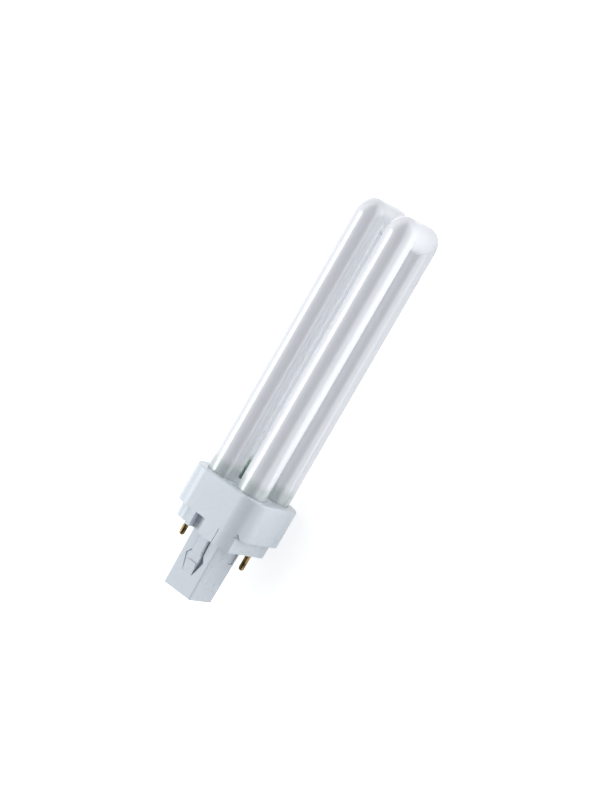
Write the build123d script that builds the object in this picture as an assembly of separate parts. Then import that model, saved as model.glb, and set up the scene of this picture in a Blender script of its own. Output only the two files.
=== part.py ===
from build123d import *
import math
import os

# Plug-in compact fluorescent lamp
# Two squared U tubes stand side by side in a square collar. Under it are a keyed flange, a post that holds the
# glow starter, and two contact pins. The pieces are drawn standing: Z runs from the end of the post to the
# tops of the tubes, X runs across the two U tubes, Y runs along each U tube. Then the lamp is laid down as it
# rests on a table, on the back face of its collar and the tops of two legs. All lengths are in millimetres.

# Heights along the lamp
overall_length = 153.0
post_length = 23.3
flange_height = 5.6
collar_height = 14.6

# Glass vessel
tube_diameter = 11.1
tube_wall = 0.8
u_pitch = 13.9
bend_corner = 1.5
leg_insertion = 9.0
foot_thickness = 1.2
bridge_diameter = 5.6
bridge_drop = 5.0
pinch_width = 8.0
pinch_thickness = 2.8
pinch_height = 4.5
pinch_flat = 0.2
exhaust_diameter = 3.2
exhaust_length = 3.8
exhaust_tip = 0.6

# Collar
collar_width = 32.3
collar_depth = 32.9
collar_corner = 7.6
collar_wall = 1.5
collar_plate = 1.6
collar_rim = 0.7
leg_side_gap = 1.05
leg_clearance = 0.2
corner_notch_width = 3.0
corner_notch_height = 1.8
corner_notch_depth = 0.7
cement_depth = 6.4
cement_clearance = 0.05

# Keyed flange and the spigot that snaps into the collar
flange_width = 27.8
flange_depth = 27.4
flange_corner = 5.0
flange_floor = 1.5
flange_wall = 1.2
key_block_start = 5.6
keyway_centre = 1.5
keyway_width = 4.4
seam_place = 7.4
seam_width = 0.25
seam_depth = 0.3
spigot_inset = 0.9
spigot_wall = 1.2
spigot_height = 3.6
spigot_root = 2.0
spigot_clearance = 0.15
barb_width = 5.0
barb_reach = 0.6
barb_height = 1.4
barb_pitch = 11.0

# Post
post_end_width = 12.7
post_end_depth = 14.75
post_seat_width = 12.9
post_seat_depth = 16.1
post_corner = 0.6
post_end_wall = 1.3
cavity_width = 10.1
cavity_depth = 10.0
edge_recess_depth = 0.3
edge_recess_width = 3.0
edge_recess_inset = 1.6
edge_recess_height = 7.6

# Catch on each wide face of the post
catch_floor = 1.3
catch_step = 0.15
catch_neck = 5.2
catch_barb = 8.4
catch_tip = 4.4
catch_neck_end = 15.9
catch_barb_place = 13.5
catch_tip_place = 7.4
tongue_width = 4.2
tongue_proud = 1.0
tongue_bevel = 0.4
tongue_notch_depth = 0.8
tongue_notch_top = 15.4
tongue_notch_bottom = 12.1

# Contact pins
pin_diameter = 2.0
pin_length = 6.9
pin_x = 11.25
pin_y = 4.8
pin_shank_diameter = 2.4
pin_head_diameter = 2.8
pin_head_height = 0.8
pin_bore_depth = 6.0
pin_clearance = 0.03

# Cathodes and their wires
wire_diameter = 0.5
wire_clearance = 0.04
wire_bend = 1.2
cathode_height = 6.5
cathode_half_span = 2.2
coil_radius = 0.55
coil_wire = 0.24
coil_pitch = 0.65
bead_diameter = 2.2
bead_overhang = 0.8
bead_drop = 4.0
pin_run_height = 4.0
starter_run_height = 2.6

# Glow starter and capacitor
bottle_diameter = 6.2
bottle_wall = 0.5
bottle_length = 16.0
bottle_y = -1.6
bottle_seal = 1.5
post_seat_gap = 0.2
starter_half_pitch = 1.2
starter_wire_rise = 5.0
strip_thickness = 0.25
strip_width = 1.6
strip_top = 11.0
strip_bottom = 4.0
strip_reach = 2.0
strip_return = 3.5
capacitor_width = 8.0
capacitor_thickness = 2.6
capacitor_height = 11.0
capacitor_gap = 0.35
capacitor_half_pitch = 2.5
capacitor_wire_rise = 8.3

# Levels and places worked out from the sizes above
flange_seat = post_length
collar_seat = post_length + flange_height
collar_top = collar_seat + collar_height
tube_radius = tube_diameter / 2
leg_pitch = collar_depth - 2 * (collar_wall + leg_side_gap) - tube_diameter
leg_x = u_pitch / 2
leg_y = leg_pitch / 2
foot_level = collar_top - leg_insertion
bridge_level = collar_top - bridge_drop
cathode_level = collar_top + cathode_height
bead_level = cathode_level - bead_drop
floor_top = flange_seat + flange_floor
pin_run_level = floor_top + pin_run_height
starter_run_level = floor_top + starter_run_height
bottle_base = post_end_wall + post_seat_gap
bottle_top = bottle_base + bottle_length
splice_level = bottle_top + starter_wire_rise
wire_radius = wire_diameter / 2
wire_bore = wire_radius + wire_clearance
cavity_half_depth = cavity_depth / 2


def turned(shape):
    """The same shape turned half round the lamp's axis."""
    return Rot(0, 0, 180) * shape


def twice(shape):
    """The shape together with its copy on the other side of the lamp."""
    return shape + turned(shape)


def rounded_plan(width, depth, corner, level):
    """A rectangle with rounded corners, square to the lamp, at a level."""
    return Pos(0, 0, level) * RectangleRounded(width, depth, corner)


def column(x, y, radius, low, high):
    """An upright round column between two levels."""
    return Pos(x, y, low) * Cylinder(radius, high - low, align=(Align.CENTER, Align.CENTER, Align.MIN))


def wire(*points):
    """Round wire along straight runs joined by bends."""
    path = Line(*points) if len(points) == 2 else FilletPolyline(*points, radius=wire_bend)
    section = Plane(origin=path @ 0, z_dir=path % 0) * Circle(wire_radius)
    return sweep(section, path=path)


# Glass vessel
def u_tube(radius, low):
    """One squared U of round tube with its two legs down to a level."""
    turn_y = leg_y - bend_corner
    turn_z = overall_length - tube_radius - bend_corner
    bar_z = overall_length - tube_radius
    shape = Pos(0, 0, bar_z) * Rot(90, 0, 0) * Cylinder(radius, 2 * turn_y)
    for side in (-1, 1):
        shape += column(0, side * leg_y, radius, low, turn_z)
    outer_half = Circle(radius) & Pos(0, radius - bend_corner) * Rectangle(2 * radius, 2 * radius)
    half_disc = Plane(origin=(0, leg_y, turn_z), x_dir=(1, 0, 0), z_dir=(0, 0, 1)) * outer_half
    turn_axis = Axis((0, turn_y, turn_z), (1, 0, 0))
    elbow = revolve(half_disc, axis=turn_axis, revolution_arc=90)
    return shape + elbow + turned(elbow)


def bridge(radius):
    """The short tube that joins the two Us between their front legs."""
    return Pos(0, -leg_y, bridge_level) * Rot(0, 90, 0) * Cylinder(radius, u_pitch)


def exhaust_stub():
    """The sealed stub through which the vessel was pumped, under the right front leg."""
    stub = Cone(exhaust_tip, exhaust_diameter / 2, exhaust_length, align=(Align.CENTER, Align.CENTER, Align.MAX))
    return Pos(leg_x, -leg_y, foot_level) * stub


def pinch_seal(x):
    """The flat pressed seal under a back leg, with a bore for each lead wire."""
    block = Pos(x, leg_y, foot_level) * Box(
        pinch_width, pinch_thickness, pinch_height, align=(Align.CENTER, Align.CENTER, Align.MAX)
    )
    return fillet(block.edges().filter_by(Axis.Z), (pinch_thickness - pinch_flat) / 2)


def lead_bores(x):
    """The bores that the two lead wires of a back leg take through foot and seal."""
    bores = Part()
    for side in (-1, 1):
        bore_x = x + side * cathode_half_span
        bores += column(bore_x, leg_y, wire_bore, foot_level - pinch_height, foot_level + foot_thickness)
    return bores


def vessel_outside(grow=0.0):
    """The outer form of the glass, or the room it takes with a clearance round it."""
    shape = bridge(bridge_diameter / 2 + grow)
    for side in (-1, 1):
        shape += Pos(side * leg_x, 0, 0) * u_tube(tube_radius + grow, foot_level)
    return shape


def make_discharge_tube():
    """The whole glass vessel: hollow legs and bends, bridge, seals and exhaust stub."""
    glass = vessel_outside() + exhaust_stub()
    inside = bridge(bridge_diameter / 2 - tube_wall)
    for side in (-1, 1):
        inside += Pos(side * leg_x, 0, 0) * u_tube(tube_radius - tube_wall, foot_level + foot_thickness)
        glass += pinch_seal(side * leg_x)
    glass -= inside
    for side in (-1, 1):
        glass -= lead_bores(side * leg_x)
    return glass


# Collar
def leg_places():
    """The centres of the four legs."""
    return [(x, y) for x in (-leg_x, leg_x) for y in (-leg_y, leg_y)]


def spigot_width():
    return flange_width - 2 * spigot_inset


def spigot_depth():
    return flange_depth - 2 * spigot_inset


def corner_notch():
    """A small arrow notch in the lower edge, at the corner beside the keyed side."""
    arrow = Polyline(
        (-corner_notch_width / 2, 0), (corner_notch_width / 2, 0), (0, corner_notch_height), close=True
    )
    corner_x = collar_width / 2 - collar_corner
    corner_y = -collar_depth / 2 + collar_corner
    out = Vector(1, -1, 0).normalized()
    base = Vector(corner_x, corner_y, collar_seat) + out * (collar_corner - corner_notch_depth)
    plane = Plane(origin=base, x_dir=(1, 1, 0), z_dir=out)
    return extrude(plane * make_face(arrow), amount=collar_corner)


def make_collar():
    """The collar: an open box with a plate for the legs on top and a lip that the flange snaps into."""
    body = extrude(rounded_plan(collar_width, collar_depth, collar_corner, collar_seat), amount=collar_height)
    body = fillet(body.faces().sort_by(Axis.Z)[-1].edges(), collar_rim)
    room = rounded_plan(
        collar_width - 2 * collar_wall,
        collar_depth - 2 * collar_wall,
        collar_corner - collar_wall,
        collar_seat + collar_wall,
    )
    body -= extrude(room, amount=collar_height - collar_wall - collar_plate)
    mouth = rounded_plan(
        spigot_width() + 2 * spigot_clearance,
        spigot_depth() + 2 * spigot_clearance,
        flange_corner - spigot_inset + spigot_clearance,
        collar_seat,
    )
    body -= extrude(mouth, amount=collar_wall)
    for x, y in leg_places():
        body -= column(x, y, tube_radius + leg_clearance, collar_top - collar_plate, collar_top)
    return body - twice(corner_notch())


def make_cement_bed():
    """Cement that fills the upper part of the collar round the legs and the bridge."""
    plan = rounded_plan(
        collar_width - 2 * (collar_wall + cement_clearance),
        collar_depth - 2 * (collar_wall + cement_clearance),
        collar_corner - collar_wall - cement_clearance,
        collar_top - collar_plate - cement_depth,
    )
    return extrude(plan, amount=cement_depth) - vessel_outside(cement_clearance)


# Cap body: flange, spigot and post in one moulding
def key_block(inset):
    """Plan of the front key block, where the flange is flush with the collar, drawn in by an inset."""
    outline = RectangleRounded(collar_width - 2 * inset, collar_depth - 2 * inset, collar_corner - inset)
    low_x = -key_block_start + inset
    high_x = flange_width / 2 - inset
    reach = collar_depth / 2
    window = Pos((low_x + high_x) / 2, -reach / 2) * Rectangle(high_x - low_x, reach)
    return outline & window


def flange_plan(inset):
    """Plan of the keyed flange, drawn in by an inset."""
    lobes = RectangleRounded(flange_width - 2 * inset, flange_depth - 2 * inset, flange_corner - inset)
    return lobes + twice(key_block(inset))


def keyway(grow):
    """The slot in the key block, from its outer face to the lobes, widened by an amount."""
    depth = (collar_depth - flange_depth) / 2
    cut = Box(
        keyway_width + 2 * grow,
        depth + grow,
        flange_height,
        align=(Align.CENTER, Align.MIN, Align.MIN),
    )
    return Pos(-keyway_centre, -collar_depth / 2, flange_seat) * cut


def seam():
    """The fine moulding seam down the key block."""
    cut = Box(seam_width, seam_depth, flange_height, align=(Align.CENTER, Align.MIN, Align.MIN))
    return Pos(seam_place, -collar_depth / 2, flange_seat) * cut


def flange():
    """The keyed flange with its floor and open top."""
    body = extrude(Pos(0, 0, flange_seat) * flange_plan(0), amount=flange_height)
    body -= twice(keyway(0))
    body -= twice(seam())
    room = extrude(Pos(0, 0, floor_top) * flange_plan(flange_wall), amount=flange_height - flange_floor)
    room -= twice(keyway(flange_wall))
    return body - room


def barb(x):
    """A snap barb on the front face of the spigot, over the collar's lip."""
    low = collar_seat + collar_wall + spigot_clearance
    face_y = -spigot_depth() / 2
    profile = Polyline(
        (face_y, low), (face_y - barb_reach, low), (face_y, low + barb_height), close=True
    )
    wedge = extrude(Plane.YZ * make_face(profile), amount=barb_width / 2, both=True)
    return Pos(x, 0, 0) * wedge


def spigot():
    """The square ring that stands up into the collar, with its snap barbs."""
    low = collar_seat - spigot_root
    outside = rounded_plan(spigot_width(), spigot_depth(), flange_corner - spigot_inset, low)
    inside = rounded_plan(
        spigot_width() - 2 * spigot_wall,
        spigot_depth() - 2 * spigot_wall,
        flange_corner - spigot_inset - spigot_wall,
        low,
    )
    ring = extrude(outside - inside, amount=spigot_root + spigot_height)
    for side in (-1, 1):
        ring += twice(barb(side * barb_pitch / 2))
    return ring


def face_y_at(level):
    """Distance from the axis to the post's wide face, which tapers towards the end."""
    share = level / post_length
    return (post_end_depth + (post_seat_depth - post_end_depth) * share) / 2


def catch_half(side, floor_y):
    """One half of the spear-shaped recess in the front face of the post, down to its floor."""
    outline = Polyline(
        (0, post_length),
        (side * catch_neck / 2, post_length),
        (side * catch_neck / 2, catch_neck_end),
        (side * catch_barb / 2, catch_barb_place),
        (side * catch_tip / 2, catch_tip_place),
        (0, catch_tip_place),
        close=True,
    )
    plane = Plane(origin=(0, -floor_y, 0), x_dir=(1, 0, 0), z_dir=(0, -1, 0))
    return extrude(plane * make_face(outline), amount=post_seat_depth)


def catch_pocket():
    """The recess in the front face, deep right of the tongue and only a step left of it."""
    step_y = face_y_at(catch_tip_place) - catch_step
    return catch_half(1, cavity_half_depth + catch_floor) + catch_half(-1, step_y)


def catch_tongue():
    """The tongue in the recess, with the cross notch that a lampholder's spring drops into."""
    floor_y = cavity_half_depth + catch_floor
    top = face_y_at(post_length) + tongue_proud
    shoulder = face_y_at(tongue_notch_top) + tongue_proud
    nose = face_y_at(tongue_notch_bottom) + tongue_proud
    profile = Polyline(
        (-floor_y, post_length),
        (-top, post_length),
        (-shoulder, tongue_notch_top),
        (tongue_notch_depth - shoulder, tongue_notch_top),
        (tongue_notch_depth - nose, tongue_notch_bottom),
        (-nose, tongue_notch_bottom),
        (-face_y_at(catch_tip_place), catch_tip_place),
        (-floor_y, catch_tip_place),
        close=True,
    )
    tongue = extrude(Plane.YZ * make_face(profile), amount=tongue_width / 2, both=True)
    half = tongue_width / 2
    section = Polyline(
        (-half, -floor_y),
        (-half, tongue_bevel - top),
        (tongue_bevel - half, -top),
        (half - tongue_bevel, -top),
        (half, tongue_bevel - top),
        (half, -floor_y),
        close=True,
    )
    return tongue & extrude(make_face(section), amount=post_length)


def edge_recess():
    """The shallow recess beside the back edge of the post's right face, under the flange."""
    far_y = post_seat_depth / 2 - edge_recess_inset
    recess = Box(
        edge_recess_depth * 2 + post_seat_width - post_end_width,
        edge_recess_width,
        edge_recess_height,
        align=(Align.CENTER, Align.MAX, Align.MAX),
    )
    return Pos(post_seat_width / 2, far_y, post_length) * recess


def post():
    """The tapered post with its catches and edge recesses, still without its cavity."""
    end = rounded_plan(post_end_width, post_end_depth, post_corner, 0)
    seat = rounded_plan(post_seat_width, post_seat_depth, post_corner, post_length)
    body = loft([end, seat])
    body -= twice(catch_pocket())
    body += twice(catch_tongue())
    return body - twice(edge_recess())


def make_cap_body():
    """The lower moulding: keyed flange, spigot and hollow post."""
    body = flange() + spigot() + post()
    cavity = Box(
        cavity_width, cavity_depth, floor_top - post_end_wall, align=(Align.CENTER, Align.CENTER, Align.MIN)
    )
    body -= Pos(0, 0, post_end_wall) * cavity
    hole = column(pin_x, pin_y, pin_shank_diameter / 2 + pin_clearance, flange_seat, floor_top)
    return body - twice(hole)


# Contact pins
def make_contact_pin():
    """The right pin: round nose, thicker shank in the flange's floor, head inside, bore for the wire."""
    radius = pin_diameter / 2
    nose = flange_seat - pin_length + radius
    pin = column(pin_x, pin_y, radius, nose, flange_seat)
    pin += Pos(pin_x, pin_y, nose) * Sphere(radius)
    pin += column(pin_x, pin_y, pin_shank_diameter / 2, flange_seat, floor_top)
    pin += column(pin_x, pin_y, pin_head_diameter / 2, floor_top, floor_top + pin_head_height)
    mouth = floor_top + pin_head_height
    return pin - column(pin_x, pin_y, wire_bore, mouth - pin_bore_depth, mouth)


# Cathodes
def make_cathode_coil(x):
    """The tungsten coil between the two lead wires of a back leg."""
    length = 2 * (cathode_half_span - wire_radius) - coil_wire
    path = Helix(coil_pitch, length, coil_radius)
    section = Plane(origin=path @ 0, z_dir=path % 0) * Circle(coil_wire / 2)
    coil = sweep(section, path=path)
    return Pos(x - length / 2, leg_y, cathode_level) * Rot(0, 90, 0) * coil


def make_glass_bead(x):
    """The glass bead across the two lead wires of a back leg."""
    bead = Pos(x, leg_y, bead_level) * Rot(0, 90, 0) * Cylinder(
        bead_diameter / 2, 2 * (cathode_half_span + bead_overhang)
    )
    bead = fillet(bead.edges().filter_by(GeomType.CIRCLE), bead_overhang / 2)
    for side in (-1, 1):
        bore_x = x + side * cathode_half_span
        bead -= column(bore_x, leg_y, wire_bore, bead_level - bead_diameter, bead_level + bead_diameter)
    return bead


def make_pin_lead(side):
    """The lead wire from a cathode down into the contact pin on its side."""
    x = side * (leg_x + cathode_half_span)
    pin_end = floor_top + pin_head_height - pin_bore_depth + wire_clearance
    return wire(
        (x, leg_y, cathode_level + coil_radius),
        (x, leg_y, pin_run_level),
        (side * pin_x, side * pin_y, pin_run_level),
        (side * pin_x, side * pin_y, pin_end),
    )


def make_starter_lead(side):
    """The lead wire from a cathode down to the wire of the glow starter on its side."""
    x = side * (leg_x - cathode_half_span)
    return wire(
        (x, leg_y, cathode_level + coil_radius),
        (x, leg_y, starter_run_level),
        (side * starter_half_pitch, bottle_y, starter_run_level),
        (side * starter_half_pitch, bottle_y, splice_level),
    )


# Glow starter
def bottle_form(radius, low, high):
    """A round bottle with a domed bottom and a flat top."""
    dome = low + radius
    return column(0, bottle_y, radius, dome, high) + Pos(0, bottle_y, dome) * Sphere(radius)


def make_glow_bottle():
    """The starter's glass bottle with the seal that its two wires pass through."""
    radius = bottle_diameter / 2
    bottle = bottle_form(radius, bottle_base, bottle_top)
    bottle = fillet(bottle.faces().sort_by(Axis.Z)[-1].edges(), bottle_wall)
    bottle -= bottle_form(radius - bottle_wall, bottle_base + bottle_wall, bottle_top - bottle_seal)
    for side in (-1, 1):
        bottle -= column(side * starter_half_pitch, bottle_y, wire_bore, bottle_top - bottle_seal, bottle_top)
    return bottle


def make_starter_wire():
    """The starter's fixed electrode, a straight wire."""
    low = bottle_base + strip_bottom + strip_thickness
    return column(starter_half_pitch, bottle_y, wire_radius, low, splice_level)


def make_bimetal_wire():
    """The wire that carries the bimetal strip."""
    low = bottle_base + strip_bottom + strip_return
    return column(-starter_half_pitch, bottle_y, wire_radius, low, splice_level)


def make_bimetal_strip():
    """The hooked bimetal strip on its wire, open towards the fixed electrode."""
    left = -starter_half_pitch - wire_radius - strip_thickness
    right = left + strip_reach
    top = bottle_base + strip_top
    bottom = bottle_base + strip_bottom
    end = bottom + strip_return
    outline = Polyline(
        (left, top),
        (left, bottom),
        (right, bottom),
        (right, end),
        (right - strip_thickness, end),
        (right - strip_thickness, bottom + strip_thickness),
        (left + strip_thickness, bottom + strip_thickness),
        (left + strip_thickness, top),
        close=True,
    )
    strip = extrude(Plane.XZ * make_face(outline), amount=strip_width / 2, both=True)
    return Pos(0, bottle_y, 0) * strip


# Capacitor
def capacitor_y():
    return bottle_y + bottle_diameter / 2 + capacitor_gap + capacitor_thickness / 2


def make_capacitor():
    """The small dipped capacitor beside the bottle."""
    body = Pos(0, capacitor_y(), bottle_base) * Box(
        capacitor_width, capacitor_thickness, capacitor_height, align=(Align.CENTER, Align.CENTER, Align.MIN)
    )
    return fillet(body.edges(), capacitor_thickness / 4)


def make_capacitor_wire(side):
    """A capacitor wire that rises beside the bottle and meets the starter lead on its side."""
    y = capacitor_y()
    low = bottle_base + capacitor_height
    level = low + capacitor_wire_rise
    start = Vector(side * capacitor_half_pitch, y, level)
    lead = Vector(side * starter_half_pitch, bottle_y, level)
    reach = (start - lead).length
    end = lead + (start - lead) * (wire_diameter / reach)
    return wire((start.X, y, low), start, end)


# The lamp at rest on its side
def rest_tilt():
    """How far the lamp tips from level to lie on its collar and the tops of its legs, in degrees."""
    collar_back = collar_depth / 2
    leg_back = leg_y + tube_radius
    leg_end = overall_length - tube_radius - bend_corner
    return math.degrees(math.atan2(collar_back - leg_back, leg_end - (collar_top - collar_rim)))


def rest_plane(offset):
    """The standing lamp's base plane in the laid lamp's frame, shifted along the table."""
    tilt = math.radians(rest_tilt())
    lie = (collar_top - collar_rim) * math.sin(tilt) + collar_depth / 2 * math.cos(tilt)
    return Plane(origin=(offset, 0, lie), x_dir=(0, -1, 0), z_dir=(math.cos(tilt), 0, -math.sin(tilt)))


def middle_shift(parts):
    """The shift that brings the middle of the laid lamp's length to the origin."""
    low = (rest_plane(0).location * parts["cap_body"]).bounding_box().min.X
    high = (rest_plane(0).location * parts["discharge_tube"]).bounding_box().max.X
    return -(low + high) / 2


def make_parts():
    """Every piece of the standing lamp by name."""
    pin = make_contact_pin()
    return {
        "discharge_tube": make_discharge_tube(),
        "collar": make_collar(),
        "cement_bed": make_cement_bed(),
        "cap_body": make_cap_body(),
        "contact_pin_right": pin,
        "contact_pin_left": turned(pin),
        "cathode_coil_right": make_cathode_coil(leg_x),
        "cathode_coil_back": make_cathode_coil(-leg_x),
        "glass_bead_right": make_glass_bead(leg_x),
        "glass_bead_back": make_glass_bead(-leg_x),
        "lead_right_pin": make_pin_lead(1),
        "lead_back_pin": make_pin_lead(-1),
        "lead_right_starter": make_starter_lead(1),
        "lead_back_starter": make_starter_lead(-1),
        "glow_bottle": make_glow_bottle(),
        "starter_wire": make_starter_wire(),
        "bimetal_wire": make_bimetal_wire(),
        "bimetal_strip": make_bimetal_strip(),
        "capacitor": make_capacitor(),
        "capacitor_wire_right": make_capacitor_wire(1),
        "capacitor_wire_left": make_capacitor_wire(-1),
    }


parts = make_parts()
rest = rest_plane(middle_shift(parts)).location
os.makedirs("parts", exist_ok=True)
for name, shape in parts.items():
    export_step(rest * shape, os.path.join("parts", name + ".step"))
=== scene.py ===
"""Looks of a plug-in fluorescent lamp that lies on a pale table.

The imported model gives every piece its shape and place. This scene gives each piece its finish and sets the
table, the studio light and the camera as in the photograph. Lengths are in metres unless a name says mm.
X runs along the lamp towards the tops of its tubes, Y towards the left of the photograph, and Z is up.
"""

from __future__ import annotations

import logging
import math
from dataclasses import dataclass
from enum import Enum

import bpy
from mathutils import Matrix, Vector

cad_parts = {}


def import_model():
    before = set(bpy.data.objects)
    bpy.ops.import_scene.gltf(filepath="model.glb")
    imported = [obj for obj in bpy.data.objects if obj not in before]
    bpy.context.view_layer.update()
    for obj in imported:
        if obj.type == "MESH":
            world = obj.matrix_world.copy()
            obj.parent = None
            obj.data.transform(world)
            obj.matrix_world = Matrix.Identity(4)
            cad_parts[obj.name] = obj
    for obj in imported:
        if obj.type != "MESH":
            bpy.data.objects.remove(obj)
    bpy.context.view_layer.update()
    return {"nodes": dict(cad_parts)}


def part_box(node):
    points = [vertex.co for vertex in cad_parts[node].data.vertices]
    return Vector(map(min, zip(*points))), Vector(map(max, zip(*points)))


LOG = logging.getLogger("lamp_scene")
WHITE = "#FFFFFF"
MM_PER_METRE = 1000.0
HALF_TURN_DEG = 180.0


class Finish(Enum):
    """The finishes that the lamp's pieces have, each named for its real material."""

    TUBE = "phosphor_under_soda_lime_glass"
    CLEAR_GLASS = "drawn_soda_lime_glass"
    HOUSING = "moulded_pbt"
    BRASS = "drawn_brass"
    WIRE = "nickel_plated_wire"
    TUNGSTEN = "emitter_coated_tungsten"
    BIMETAL = "rolled_bimetal"
    CEMENT = "cast_basing_cement"
    DIPPED = "dipped_epoxy"


def linear(hex_colour: str) -> tuple[float, float, float, float]:
    """Turn an sRGB hex colour into linear RGBA.

    Args:
        hex_colour: Colour such as "#E0E2E4".

    Returns:
        Linear red, green, blue and an alpha of one.
    """
    channels = [int(hex_colour[place : place + 2], 16) / 255 for place in (1, 3, 5)]
    values = [c / 12.92 if c <= 0.04045 else ((c + 0.055) / 1.055) ** 2.4 for c in channels]
    return (values[0], values[1], values[2], 1.0)


def cells(size_mm: float) -> float:
    """Return the noise scale whose patches are as wide as a real size in millimetres."""
    return MM_PER_METRE / size_mm


def add_node(
    tree: bpy.types.NodeTree, kind: str, links: dict[str | int, object] | None = None, **settings: object
) -> bpy.types.Node:
    """Add a node to a tree, with its settings and its inputs.

    Args:
        tree: The node tree.
        kind: The node's type name.
        links: Input name or index to a value or to another node's output socket.
        **settings: Attributes of the node.

    Returns:
        The new node.
    """
    node = tree.nodes.new(kind)
    for name, value in settings.items():
        setattr(node, name, value)
    for key, value in (links or {}).items():
        if isinstance(value, bpy.types.NodeSocket):
            tree.links.new(value, node.inputs[key])
        else:
            node.inputs[key].default_value = value
    return node


def blank_material(name: str) -> tuple[bpy.types.Material, bpy.types.NodeTree, bpy.types.Node]:
    """Make a material with a bare principled shader.

    Args:
        name: Name of the material.

    Returns:
        The material, its node tree and its shader node.
    """
    material = bpy.data.materials.new(name)
    material.use_nodes = True
    tree = material.node_tree
    tree.nodes.clear()
    shader = tree.nodes.new("ShaderNodeBsdfPrincipled")
    output = tree.nodes.new("ShaderNodeOutputMaterial")
    tree.links.new(shader.outputs["BSDF"], output.inputs["Surface"])
    return material, tree, shader


@dataclass(frozen=True)
class TubeFinish:
    """Phosphor powder on the inner skin of drawn and blown soda-lime glass.

    The powder gives an even cool white. The fire-polished outer skin mirrors the studio sharply, and the
    inner skin, matted by the powder, gives the wide soft shine beside each sharp line.

    Attributes:
        powder: Colour of the powder.
        powder_thin: Its colour where the coat ran thinner while it dried.
        outline_painted_shade: Dark tint of the gloss at the outer outline, painted shade.
        foot: Tint of the bare glass near the collar.
        foot_haze: How much powder is left right at the collar.
        foot_clear: The same on the wiped leg, over the back cathode.
        outline_start: Facing value where the gloss starts to fade towards the outline.
        outline_full: Facing value where it has faded.
        facing_blend: Blend of the facing value, where a half is the plain one.
        film_roughness: Roughness of the inner skin.
        film_gloss: Specular level of the inner skin.
        glass_roughness: Roughness of the outer skin.
        ior: Refractive index of the glass.
        light_pass: Share of the shadow and diffuse rays that each skin of the coated wall lets through.
        run_mm: Width of the runs in the powder.
        run_detail: Levels of detail in the runs.
        draw_mm: Width of the drawing lines in the glass, far finer in truth and drawn this wide to show.
        draw_stretch: How much longer than wide the drawing lines are.
        draw_depth: Depth of the drawing lines.
        draw_detail: Levels of detail in the drawing lines.
    """

    powder: str = "#D4D8DE"
    powder_thin: str = "#CED2D9"
    outline_painted_shade: str = "#40484C"
    foot: str = "#A6B8B0"
    foot_haze: float = 0.66
    foot_clear: float = 0.0
    outline_start: float = 0.40
    outline_full: float = 0.62
    facing_blend: float = 0.5
    film_roughness: float = 0.24
    film_gloss: float = 0.7
    glass_roughness: float = 0.07
    ior: float = 1.5
    light_pass: float = 0.92
    run_mm: float = 7.0
    run_detail: float = 2.0
    draw_mm: float = 1.5
    draw_stretch: float = 12.0
    draw_depth: float = 0.000004
    draw_detail: float = 1.0


@dataclass(frozen=True)
class GlassFinish:
    """Clear drawn soda-lime glass.

    Its skin is fire-polished, so it shows sharp gloss, with faint drawing lines that bend what is seen
    through it.

    Attributes:
        tint: Faint green of the iron in the glass.
        roughness: Roughness of the skin.
        ior: Refractive index.
        line_mm: Width of the drawing lines.
        line_depth: Their depth.
        line_strength: How strongly they bend the light.
        line_detail: Levels of detail in them.
    """

    tint: str = "#E6EFEA"
    roughness: float = 0.03
    ior: float = 1.5
    line_mm: float = 2.5
    line_depth: float = 0.00003
    line_strength: float = 0.2
    line_detail: float = 1.0


@dataclass(frozen=True)
class MouldedFinish:
    """A moulded, cast or dipped skin over one solid colour.

    Attributes:
        base: Main colour.
        tint: Colour of the faint flow marks.
        roughness: Mean roughness.
        grain_mm: Width of the grain.
        grain_depth: Height of the grain.
        grain_strength: How strongly the grain shows.
        grain_detail: Levels of detail in the grain.
        flow_mm: Width of the flow marks.
        flow_detail: Levels of detail in the flow marks.
        sheen_spread: Share by which the roughness goes up and down with the flow marks.
    """

    base: str
    tint: str
    roughness: float
    grain_mm: float
    grain_depth: float
    grain_strength: float = 0.6
    grain_detail: float = 4.0
    flow_mm: float = 11.0
    flow_detail: float = 3.0
    sheen_spread: float = 0.15


@dataclass(frozen=True)
class MetalFinish:
    """Drawn or rolled metal.

    Attributes:
        base: Colour of clean metal.
        stain: Colour where it has darkened.
        roughness: Mean roughness.
        stain_mm: Width of the stained patches.
        stain_detail: Levels of detail in their edges.
        stain_start: Noise value where a patch starts.
        stain_full: Noise value where it is fully stained.
        mark_mm: Width of the drawing marks, finer in truth and drawn this wide to show.
        mark_stretch: How much longer than wide the drawing marks are.
        mark_depth: Depth of the drawing marks.
        mark_strength: How strongly the drawing marks show.
        mark_detail: Levels of detail in the drawing marks.
    """

    base: str
    stain: str
    roughness: float
    stain_mm: float = 1.4
    stain_detail: float = 4.0
    stain_start: float = 0.45
    stain_full: float = 0.7
    mark_mm: float = 0.2
    mark_stretch: float = 6.7
    mark_depth: float = 0.00001
    mark_strength: float = 0.35
    mark_detail: float = 3.0


# Moulded PBT in white, spark-eroded mould: a satin sheen that blurs the studio, over a fine grain. The grain
# is a tenth of a millimetre in truth, and drawn as coarse as it needs to show.
HOUSING_FINISH = MouldedFinish("#C6CED6", "#C0C8D1", 0.27, 0.38, 0.00001)

# Basing cement of resin and marble flour, cast and baked: dull, chalky, with a coarse grain
CEMENT_FINISH = MouldedFinish("#DAD8D0", "#C9C6BC", 0.85, 0.55, 0.00008)

# Epoxy dip over a foil capacitor: a glossy amber coat with soft sags
DIP_FINISH = MouldedFinish("#B8762E", "#A5662A", 0.22, 1.1, 0.00003)

# Drawn brass, tumbled bright and since tarnished: brown-gold, with a tight shine along the pin
BRASS_FINISH = MetalFinish("#8A744A", "#2F2517", 0.24)

# Iron wire with a nickel plate: grey, slightly warm, satin
WIRE_FINISH = MetalFinish("#B9B7AE", "#8A867A", 0.30)

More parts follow.
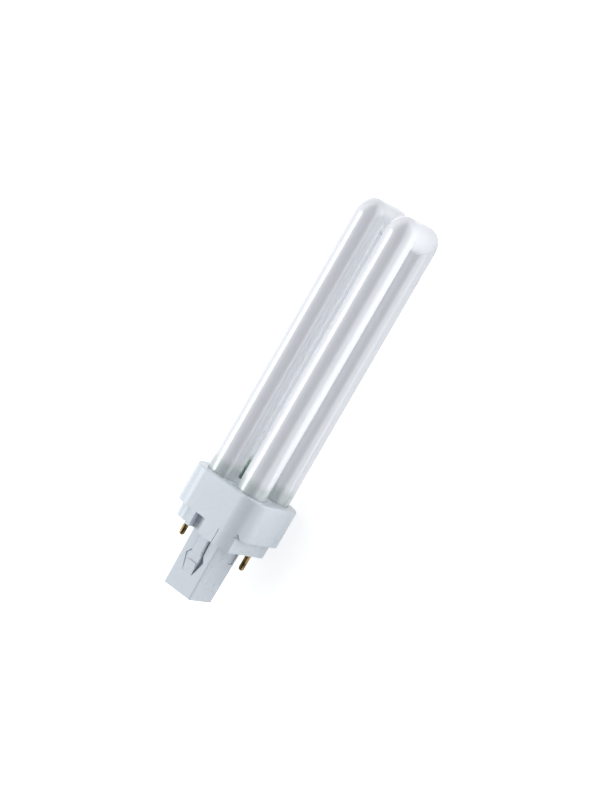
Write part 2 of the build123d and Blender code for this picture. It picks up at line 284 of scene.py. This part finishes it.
# Tungsten coil under a pasted oxide emitter: dark metal with chalky patches
TUNGSTEN_FINISH = MetalFinish("#4E4C48", "#C9C4A8", 0.55)

# Bimetal strip, cold rolled: pale warm grey with a soft shine
BIMETAL_FINISH = MetalFinish("#A39C90", "#7C766C", 0.35)


def drawn_glass(finish: GlassFinish) -> bpy.types.Material:
    """Make clear glass with faint drawing lines.

    Args:
        finish: The glass.

    Returns:
        The material.
    """
    material, tree, shader = blank_material(Finish.CLEAR_GLASS.value)
    coord = add_node(tree, "ShaderNodeTexCoord")
    lines = add_node(
        tree,
        "ShaderNodeTexNoise",
        {
            "Vector": coord.outputs["Object"],
            "Scale": cells(finish.line_mm),
            "Detail": finish.line_detail,
        },
    )
    bump = add_node(
        tree,
        "ShaderNodeBump",
        {
            "Height": lines.outputs["Fac"],
            "Strength": finish.line_strength,
            "Distance": finish.line_depth,
        },
    )
    tree.links.new(bump.outputs["Normal"], shader.inputs["Normal"])
    shader.inputs["Base Color"].default_value = linear(finish.tint)
    shader.inputs["Transmission Weight"].default_value = 1.0
    shader.inputs["Roughness"].default_value = finish.roughness
    shader.inputs["IOR"].default_value = finish.ior
    return material


def moulded(kind: Finish, finish: MouldedFinish) -> bpy.types.Material:
    """Make a skin with a fine grain, faint flow marks and an uneven sheen.

    Args:
        kind: The real material.
        finish: Its colours, roughness and grain.

    Returns:
        The material.
    """
    material, tree, shader = blank_material(kind.value)
    coord = add_node(tree, "ShaderNodeTexCoord")
    grain = add_node(
        tree,
        "ShaderNodeTexNoise",
        {
            "Vector": coord.outputs["Object"],
            "Scale": cells(finish.grain_mm),
            "Detail": finish.grain_detail,
        },
    )
    flow = add_node(
        tree,
        "ShaderNodeTexNoise",
        {
            "Vector": coord.outputs["Object"],
            "Scale": cells(finish.flow_mm),
            "Detail": finish.flow_detail,
        },
    )
    colour = add_node(
        tree,
        "ShaderNodeMix",
        {"Factor": flow.outputs["Fac"], "A": linear(finish.base), "B": linear(finish.tint)},
        data_type="RGBA",
    )
    sheen = add_node(
        tree,
        "ShaderNodeMapRange",
        {
            "Value": flow.outputs["Fac"],
            "To Min": finish.roughness * (1.0 - finish.sheen_spread),
            "To Max": finish.roughness * (1.0 + finish.sheen_spread),
        },
    )
    bump = add_node(
        tree,
        "ShaderNodeBump",
        {
            "Height": grain.outputs["Fac"],
            "Strength": finish.grain_strength,
            "Distance": finish.grain_depth,
        },
    )
    tree.links.new(colour.outputs["Result"], shader.inputs["Base Color"])
    tree.links.new(sheen.outputs["Result"], shader.inputs["Roughness"])
    tree.links.new(bump.outputs["Normal"], shader.inputs["Normal"])
    return material


def metal(kind: Finish, finish: MetalFinish) -> bpy.types.Material:
    """Make metal with stained patches and fine drawing marks along the lamp.

    Args:
        kind: The real material.
        finish: Its colours, roughness and marks.

    Returns:
        The material.
    """
    material, tree, shader = blank_material(kind.value)
    coord = add_node(tree, "ShaderNodeTexCoord")
    drawn = add_node(
        tree,
        "ShaderNodeMapping",
        {"Vector": coord.outputs["Object"], "Scale": (1.0 / finish.mark_stretch, 1.0, 1.0)},
    )
    marks = add_node(
        tree,
        "ShaderNodeTexNoise",
        {
            "Vector": drawn.outputs["Vector"],
            "Scale": cells(finish.mark_mm),
            "Detail": finish.mark_detail,
        },
    )
    stain = add_node(
        tree,
        "ShaderNodeTexNoise",
        {
            "Vector": coord.outputs["Object"],
            "Scale": cells(finish.stain_mm),
            "Detail": finish.stain_detail,
        },
    )
    patches = add_node(
        tree,
        "ShaderNodeMapRange",
        {
            "Value": stain.outputs["Fac"],
            "From Min": finish.stain_start,
            "From Max": finish.stain_full,
        },
    )
    colour = add_node(
        tree,
        "ShaderNodeMix",
        {"Factor": patches.outputs["Result"], "A": linear(finish.base), "B": linear(finish.stain)},
        data_type="RGBA",
    )
    bump = add_node(
        tree,
        "ShaderNodeBump",
        {
            "Height": marks.outputs["Fac"],
            "Strength": finish.mark_strength,
            "Distance": finish.mark_depth,
        },
    )
    tree.links.new(colour.outputs["Result"], shader.inputs["Base Color"])
    tree.links.new(bump.outputs["Normal"], shader.inputs["Normal"])
    shader.inputs["Metallic"].default_value = 1.0
    shader.inputs["Roughness"].default_value = finish.roughness
    return material


class Pieces:
    """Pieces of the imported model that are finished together.

    Args:
        nodes: Node names and their objects.
    """

    def __init__(self, nodes: dict[str, bpy.types.Object]) -> None:
        """Keep the model's nodes."""
        self.nodes = nodes

    def finish(self, names: tuple[str, ...], material: bpy.types.Material) -> None:
        """Give some pieces a material.

        Args:
            names: Names of the pieces.
            material: Their material.
        """
        for name in names:
            obj = self.nodes[name]
            if not obj.data.materials:
                obj.data.materials.append(material)
            for slot in obj.material_slots:
                slot.material = material
            LOG.info("%s has %s", name, material.name)


@dataclass(frozen=True)
class Vessel:
    """The glass vessel: four legs in two squared Us, coated with powder.

    Attributes:
        collar_top: Place along X where the tubes leave the collar.
        tube_top: Place along X of the tops of the tubes.
        axis_height: Height of the lamp's axis over the table at the middle of the tubes.
        hazy_foot: Length over the collar where the powder is still thin.
        clear_foot: The same on the wiped leg.
        fade: Length over which the powder becomes full.
        ragged: How uneven the powder's edge is.
        ragged_mm: Width of the steps in that edge.
        ragged_detail: Levels of detail in them.
        leg_split: Half the width of the band between one leg and the next.
        outline_inner: Distance from the lamp's axis where the painted dark outline starts.
        outline_outer: Distance from which a point counts fully as on it.
        top_outline: Length below the tops of the tubes over which they come to count as on it too.
        finish: Its finish.
    """

    collar_top: float
    tube_top: float
    axis_height: float
    hazy_foot: float = 0.0075
    clear_foot: float = 0.0105
    fade: float = 0.0040
    ragged: float = 0.0010
    ragged_mm: float = 2.4
    ragged_detail: float = 3.0
    leg_split: float = 0.002
    outline_inner: float = 0.0146
    outline_outer: float = 0.0154
    top_outline: float = 0.0040
    finish: TubeFinish = TubeFinish()

    def powder_cover(self, tree: bpy.types.NodeTree) -> bpy.types.NodeSocket:
        """How much powder there is: some at the collar, all of it past the foot of the tube.

        Args:
            tree: The material's node tree.

        Returns:
            A socket from zero, bare glass, to one, all powder.
        """
        coord = add_node(tree, "ShaderNodeTexCoord")
        parts = add_node(tree, "ShaderNodeSeparateXYZ", {0: coord.outputs["Object"]})
        ragged = add_node(
            tree,
            "ShaderNodeTexNoise",
            {
                "Vector": coord.outputs["Object"],
                "Scale": cells(self.ragged_mm),
                "Detail": self.ragged_detail,
            },
        )
        low = add_node(
            tree,
            "ShaderNodeMapRange",
            {
                "Value": parts.outputs["Z"],
                "From Min": self.axis_height + self.leg_split,
                "From Max": self.axis_height - self.leg_split,
            },
        )
        left = add_node(
            tree,
            "ShaderNodeMapRange",
            {"Value": parts.outputs["Y"], "From Min": -self.leg_split, "From Max": self.leg_split},
        )
        wiped = add_node(
            tree,
            "ShaderNodeMath",
            {0: low.outputs["Result"], 1: left.outputs["Result"]},
            operation="MULTIPLY",
        )
        bare_length = add_node(
            tree,
            "ShaderNodeMapRange",
            {"Value": wiped.outputs[0], "To Min": self.hazy_foot, "To Max": self.clear_foot},
        )
        haze = add_node(
            tree,
            "ShaderNodeMapRange",
            {"Value": wiped.outputs[0], "To Min": self.finish.foot_haze, "To Max": self.finish.foot_clear},
        )
        past = add_node(
            tree,
            "ShaderNodeMath",
            {0: parts.outputs["X"], 1: bare_length.outputs["Result"]},
            operation="SUBTRACT",
        )
        shift = add_node(
            tree,
            "ShaderNodeMath",
            {0: ragged.outputs["Fac"], 1: self.ragged, 2: past.outputs[0]},
            operation="MULTIPLY_ADD",
        )
        ramp = add_node(
            tree,
            "ShaderNodeMapRange",
            {
                "Value": shift.outputs[0],
                "From Min": self.collar_top - self.fade,
                "From Max": self.collar_top,
                "To Min": haze.outputs["Result"],
                "To Max": 1.0,
            },
            interpolation_type="SMOOTHSTEP",
        )
        return ramp.outputs["Result"]

    def painted_outline_mask(self, tree: bpy.types.NodeTree) -> bpy.types.NodeSocket:
        """How much the gloss fades: fully at the outer outline of the tubes, where the glass is edge on.

        Args:
            tree: The material's node tree.

        Returns:
            A socket from zero, full gloss, to one, the painted dark outline.
        """
        coord = add_node(tree, "ShaderNodeTexCoord")
        centred = add_node(
            tree,
            "ShaderNodeVectorMath",
            {0: coord.outputs["Object"], 1: (0.0, 0.0, -self.axis_height)},
            operation="ADD",
        )
        across = add_node(
            tree, "ShaderNodeVectorMath", {0: centred.outputs[0], 1: (0.0, 1.0, 1.0)}, operation="MULTIPLY"
        )
        reach = add_node(tree, "ShaderNodeVectorMath", {0: across.outputs[0]}, operation="LENGTH")
        outer = add_node(
            tree,
            "ShaderNodeMapRange",
            {
                "Value": reach.outputs["Value"],
                "From Min": self.outline_inner,
                "From Max": self.outline_outer,
            },
            interpolation_type="SMOOTHSTEP",
        )
        parts = add_node(tree, "ShaderNodeSeparateXYZ", {0: coord.outputs["Object"]})
        top = add_node(
            tree,
            "ShaderNodeMapRange",
            {
                "Value": parts.outputs["X"],
                "From Min": self.tube_top - self.top_outline,
                "From Max": self.tube_top,
            },
            interpolation_type="SMOOTHSTEP",
        )
        outside = add_node(
            tree,
            "ShaderNodeMath",
            {0: outer.outputs["Result"], 1: top.outputs["Result"]},
            operation="MAXIMUM",
        )
        facing = add_node(tree, "ShaderNodeLayerWeight", {"Blend": self.finish.facing_blend})
        edge = add_node(
            tree,
            "ShaderNodeMapRange",
            {
                "Value": facing.outputs["Facing"],
                "From Min": self.finish.outline_start,
                "From Max": self.finish.outline_full,
            },
            interpolation_type="SMOOTHSTEP",
        )
        both = add_node(
            tree, "ShaderNodeMath", {0: outside.outputs[0], 1: edge.outputs["Result"]}, operation="MULTIPLY"
        )
        return both.outputs[0]

    def material(self) -> bpy.types.Material:
        """Make powder under glossy glass, half clear at the collar, with a painted dark outline in its
        gloss.

        Returns:
            The material.
        """
        finish = self.finish
        material, tree, shader = blank_material(Finish.TUBE.value)
        cover = self.powder_cover(tree)
        outline = self.painted_outline_mask(tree)
        coord = add_node(tree, "ShaderNodeTexCoord")
        runs = add_node(
            tree,
            "ShaderNodeTexNoise",
            {
                "Vector": coord.outputs["Object"],
                "Scale": cells(finish.run_mm),
                "Detail": finish.run_detail,
            },
        )
        powder = add_node(
            tree,
            "ShaderNodeMix",
            {"Factor": runs.outputs["Fac"], "A": linear(finish.powder), "B": linear(finish.powder_thin)},
            data_type="RGBA",
        )
        colour = add_node(
            tree,
            "ShaderNodeMix",
            {"Factor": cover, "A": linear(finish.foot), "B": powder.outputs["Result"]},
            data_type="RGBA",
        )
        # Painted shade: the gloss turns dark grey along the outer outline, as a dark edge.
        shine = add_node(
            tree,
            "ShaderNodeMix",
            {"Factor": outline, "A": linear(WHITE), "B": linear(finish.outline_painted_shade)},
            data_type="RGBA",
        )
        clear = add_node(tree, "ShaderNodeMath", {0: 1.0, 1: cover}, operation="SUBTRACT")
        glaze = add_node(tree, "ShaderNodeMath", {0: 1.0, 1: outline}, operation="SUBTRACT")
        along = add_node(
            tree,
            "ShaderNodeMapping",
            {"Vector": coord.outputs["Object"], "Scale": (1.0 / finish.draw_stretch, 1.0, 1.0)},
        )
        lines = add_node(
            tree,
            "ShaderNodeTexNoise",
            {
                "Vector": along.outputs["Vector"],
                "Scale": cells(finish.draw_mm),
                "Detail": finish.draw_detail,
            },
        )
        bump = add_node(
            tree,
            "ShaderNodeBump",
            {"Height": lines.outputs["Fac"], "Strength": 1.0, "Distance": finish.draw_depth},
        )
        tree.links.new(colour.outputs["Result"], shader.inputs["Base Color"])
        tree.links.new(clear.outputs[0], shader.inputs["Transmission Weight"])
        tree.links.new(shine.outputs["Result"], shader.inputs["Specular Tint"])
        tree.links.new(glaze.outputs[0], shader.inputs["Coat Weight"])
        tree.links.new(bump.outputs["Normal"], shader.inputs["Coat Normal"])
        shader.inputs["Roughness"].default_value = finish.film_roughness
        shader.inputs["Specular IOR Level"].default_value = finish.film_gloss
        shader.inputs["Coat Roughness"].default_value = finish.glass_roughness
        shader.inputs["Coat IOR"].default_value = finish.ior
        shader.inputs["IOR"].default_value = finish.ior
        self.let_light_through(tree, shader)
        return material

    def let_light_through(self, tree: bpy.types.NodeTree, shader: bpy.types.Node) -> None:
        """Let part of the light pass the thin coated wall on its way to what lies behind.

        Args:
            tree: The material's node tree.
            shader: Its principled shader.
        """
        rays = add_node(tree, "ShaderNodeLightPath")
        unseen = add_node(
            tree,
            "ShaderNodeMath",
            {0: rays.outputs["Is Shadow Ray"], 1: rays.outputs["Is Diffuse Ray"]},
            operation="MAXIMUM",
        )
        share = add_node(
            tree, "ShaderNodeMath", {0: unseen.outputs[0], 1: self.finish.light_pass}, operation="MULTIPLY"
        )
        through = add_node(tree, "ShaderNodeBsdfTransparent")
        mix = add_node(
            tree,
            "ShaderNodeMixShader",
            {0: share.outputs[0], 1: shader.outputs["BSDF"], 2: through.outputs["BSDF"]},
        )
        tree.links.new(mix.outputs["Shader"], tree.nodes["Material Output"].inputs["Surface"])

    def dress(self, pieces: Pieces) -> None:
        """Coat the vessel."""
        pieces.finish(("discharge_tube",), self.material())


@dataclass(frozen=True)
class Cap:
    """The lamp's cap: two mouldings, the cement that holds the tubes, and two pins."""

    mouldings: tuple[str, ...] = ("collar", "cap_body")
    pins: tuple[str, ...] = ("contact_pin_right", "contact_pin_left")

    def dress(self, pieces: Pieces) -> None:
        """Finish the mouldings, the cement and the pins."""
        pieces.finish(self.mouldings, moulded(Finish.HOUSING, HOUSING_FINISH))
        pieces.finish(("cement_bed",), moulded(Finish.CEMENT, CEMENT_FINISH))
        pieces.finish(self.pins, metal(Finish.BRASS, BRASS_FINISH))


@dataclass(frozen=True)
class Works:
    """What makes the lamp light: two cathodes on their wires, and the starter with its capacitor."""

    coils: tuple[str, ...] = ("cathode_coil_right", "cathode_coil_back")
    glass: tuple[str, ...] = ("glass_bead_right", "glass_bead_back", "glow_bottle")
    wires: tuple[str, ...] = (
        "lead_right_pin",
        "lead_back_pin",
        "lead_right_starter",
        "lead_back_starter",
        "starter_wire",
        "bimetal_wire",
        "capacitor_wire_right",
        "capacitor_wire_left",
    )

    def dress(self, pieces: Pieces) -> None:
        """Finish the coils, the glass, the wires, the bimetal strip and the capacitor."""
        pieces.finish(self.coils, metal(Finish.TUNGSTEN, TUNGSTEN_FINISH))
        pieces.finish(self.glass, drawn_glass(GlassFinish()))
        pieces.finish(self.wires, metal(Finish.WIRE, WIRE_FINISH))
        pieces.finish(("bimetal_strip",), metal(Finish.BIMETAL, BIMETAL_FINISH))
        pieces.finish(("capacitor",), moulded(Finish.DIPPED, DIP_FINISH))


@dataclass(frozen=True)
class LightBox:
    """A soft box that looks at the lamp, unseen by the camera itself.

    Attributes:
        name: Name of the light.
        place: Centre of its front.
        aim: Point that it looks at.
        size: Its length along the lamp and its width.
        power: Output in watts.
        colour: Colour of its light.
    """

    name: str
    place: tuple[float, float, float]
    aim: tuple[float, float, float]
    size: tuple[float, float]
    power: float
    colour: str = WHITE

    def hang(self) -> None:
        """Hang the soft box."""
        data = bpy.data.lights.new(self.name, "AREA")
        data.shape = "RECTANGLE"
        data.size, data.size_y = self.size
        data.energy = self.power
        data.color = linear(self.colour)[:3]
        light = bpy.data.objects.new(self.name, data)
        light.visible_camera = False
        bpy.context.scene.collection.objects.link(light)
        across = Vector((1.0, 0.0, 0.0))
        back = (Vector(self.place) - Vector(self.aim)).normalized()
        up = back.cross(across).normalized()
        turn = Matrix((across, up, back)).transposed()
        light.matrix_world = Matrix.Translation(self.place) @ turn.to_4x4()


@dataclass(frozen=True)
class RoomStop:
    """How bright the room is at one height around the lamp's length.

    Attributes:
        angle_deg: Angle from the left horizon over the top towards the right horizon.
        brightness: Brightness, where one is white.
    """

    angle_deg: float
    brightness: float


@dataclass(frozen=True)
class Studio:
    """Pale table, bright walls left and right, dark above, and the camera.

    Attributes:
        room: Brightness around the lamp: two bright side walls, and dark over it and on the camera's side.
        room_colour: Colour of the room's light.
        boxes: The soft boxes.
        table_size: Width of the table.
        table_colour: Colour of the table.
        table_glow: What the table adds where the camera, gloss or glass sees it, so that it is white.
        table_roughness: Roughness of the table.
        table_gloss: Specular level of the table.
        image_height_px: Height of the photograph.
        focal_px: Focal length in pixels of the photograph.
        sensor_height_mm: Height of the camera's sensor.
        camera_place: Place of the camera.
        camera_target: Point that the camera looks at.
        camera_roll_deg: Turn of the camera about its line of sight.
        camera_near: Nearest distance that it sees.
    """

    room: tuple[RoomStop, ...] = (
        RoomStop(0.0, 0.8),
        RoomStop(22.5, 1.8),
        RoomStop(45.0, 1.8),
        RoomStop(67.5, 0.8),
        RoomStop(90.0, 0.1),
        RoomStop(135.0, 0.1),
        RoomStop(157.5, 1.9),
        RoomStop(180.0, 1.9),
    )
    room_colour: str = WHITE
    boxes: tuple[LightBox, ...] = (
        LightBox("left_box", (-0.06, 0.42, 0.46), (0.0, 0.0, 0.02), (0.36, 0.26), 1.45),
        LightBox("table_strip", (0.365, -0.115, 0.002), (0.365, -0.115, 1.0), (0.8, 0.17), 0.56),
    )
    table_size: float = 4.0
    table_colour: str = "#E6E7E8"
    table_glow: float = 0.6
    table_roughness: float = 0.9
    table_gloss: float = 0.1
    image_height_px: int = 800
    focal_px: float = 2080.0
    sensor_height_mm: float = 24.0
    camera_place: tuple[float, float, float] = (0.10922, -0.34781, 0.63948)
    camera_target: tuple[float, float, float] = (0.00244, -0.00047, 0.01529)
    camera_roll_deg: float = -75.57
    camera_near: float = 0.01

    def make_table(self) -> None:
        """Set the pale table that the lamp lies on, white to the camera and in gloss and glass."""
        bpy.ops.object.select_all(action="DESELECT")
        bpy.ops.mesh.primitive_plane_add(size=self.table_size)
        table = bpy.context.object
        table.name = "table"
        material, tree, shader = blank_material("pale_table")
        rays = add_node(tree, "ShaderNodeLightPath")
        seen = add_node(
            tree,
            "ShaderNodeMath",
            {0: rays.outputs["Is Camera Ray"], 1: rays.outputs["Is Glossy Ray"]},
            operation="MAXIMUM",
        )
        seen = add_node(
            tree,
            "ShaderNodeMath",
            {0: seen.outputs[0], 1: rays.outputs["Is Transmission Ray"]},
            operation="MAXIMUM",
        )
        glow = add_node(
            tree, "ShaderNodeMath", {0: seen.outputs[0], 1: self.table_glow}, operation="MULTIPLY"
        )
        tree.links.new(glow.outputs[0], shader.inputs["Emission Strength"])
        shader.inputs["Emission Color"].default_value = linear(WHITE)
        shader.inputs["Base Color"].default_value = linear(self.table_colour)
        shader.inputs["Roughness"].default_value = self.table_roughness
        shader.inputs["Specular IOR Level"].default_value = self.table_gloss
        table.data.materials.append(material)

    def make_room(self) -> None:
        """Fill the room with soft light from its side walls."""
        world = bpy.data.worlds.new("studio")
        world.use_nodes = True
        tree = world.node_tree
        coord = add_node(tree, "ShaderNodeTexCoord")
        parts = add_node(tree, "ShaderNodeSeparateXYZ", {0: coord.outputs["Generated"]})
        around = add_node(
            tree, "ShaderNodeMath", {0: parts.outputs["Z"], 1: parts.outputs["Y"]}, operation="ARCTAN2"
        )
        share = add_node(tree, "ShaderNodeMath", {0: around.outputs[0], 1: math.pi}, operation="DIVIDE")
        walls = add_node(tree, "ShaderNodeValToRGB", {0: share.outputs[0]})
        brightest = max(place.brightness for place in self.room)
        stops = walls.color_ramp.elements
        while len(stops) < len(self.room):
            stops.new(1.0)
        for stop, place in zip(stops, self.room):
            stop.position = place.angle_deg / HALF_TURN_DEG
            grey = place.brightness / brightest
            stop.color = (grey, grey, grey, 1.0)
        strength = add_node(
            tree, "ShaderNodeMath", {0: walls.outputs["Color"], 1: brightest}, operation="MULTIPLY"
        )
        background = tree.nodes["Background"]
        background.inputs["Color"].default_value = linear(self.room_colour)
        tree.links.new(strength.outputs[0], background.inputs["Strength"])
        bpy.context.scene.world = world

    def make_camera(self) -> None:
        """Set the camera at the photograph's place and angle."""
        data = bpy.data.cameras.new("photo_camera")
        data.sensor_fit = "VERTICAL"
        data.sensor_height = self.sensor_height_mm
        data.lens = self.focal_px / self.image_height_px * self.sensor_height_mm
        data.clip_start = self.camera_near
        camera = bpy.data.objects.new("photo_camera", data)
        bpy.context.scene.collection.objects.link(camera)
        look = Vector(self.camera_target) - Vector(self.camera_place)
        roll = Matrix.Rotation(math.radians(self.camera_roll_deg), 3, "Z")
        turn = look.to_track_quat("-Z", "Y").to_matrix() @ roll
        camera.matrix_world = Matrix.Translation(self.camera_place) @ turn.to_4x4()
        bpy.context.scene.camera = camera

    def build(self) -> None:
        """Set the table, the light, the camera and the view transform."""
        self.make_table()
        for box in self.boxes:
            box.hang()
        self.make_room()
        self.make_camera()
        bpy.context.scene.view_settings.view_transform = "Standard"


def main() -> None:
    """Dress the lamp and set the scene."""
    logging.basicConfig(level=logging.INFO)
    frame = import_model()
    tube_low, tube_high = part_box("discharge_tube")
    pieces = Pieces(frame["nodes"])
    vessel = Vessel(
        collar_top=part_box("collar")[1][0],
        tube_top=tube_high[0],
        axis_height=(tube_low[2] + tube_high[2]) / 2,
    )
    for part in (vessel, Cap(), Works()):
        part.dress(pieces)
    Studio().build()


if __name__ == "__main__":
    main()
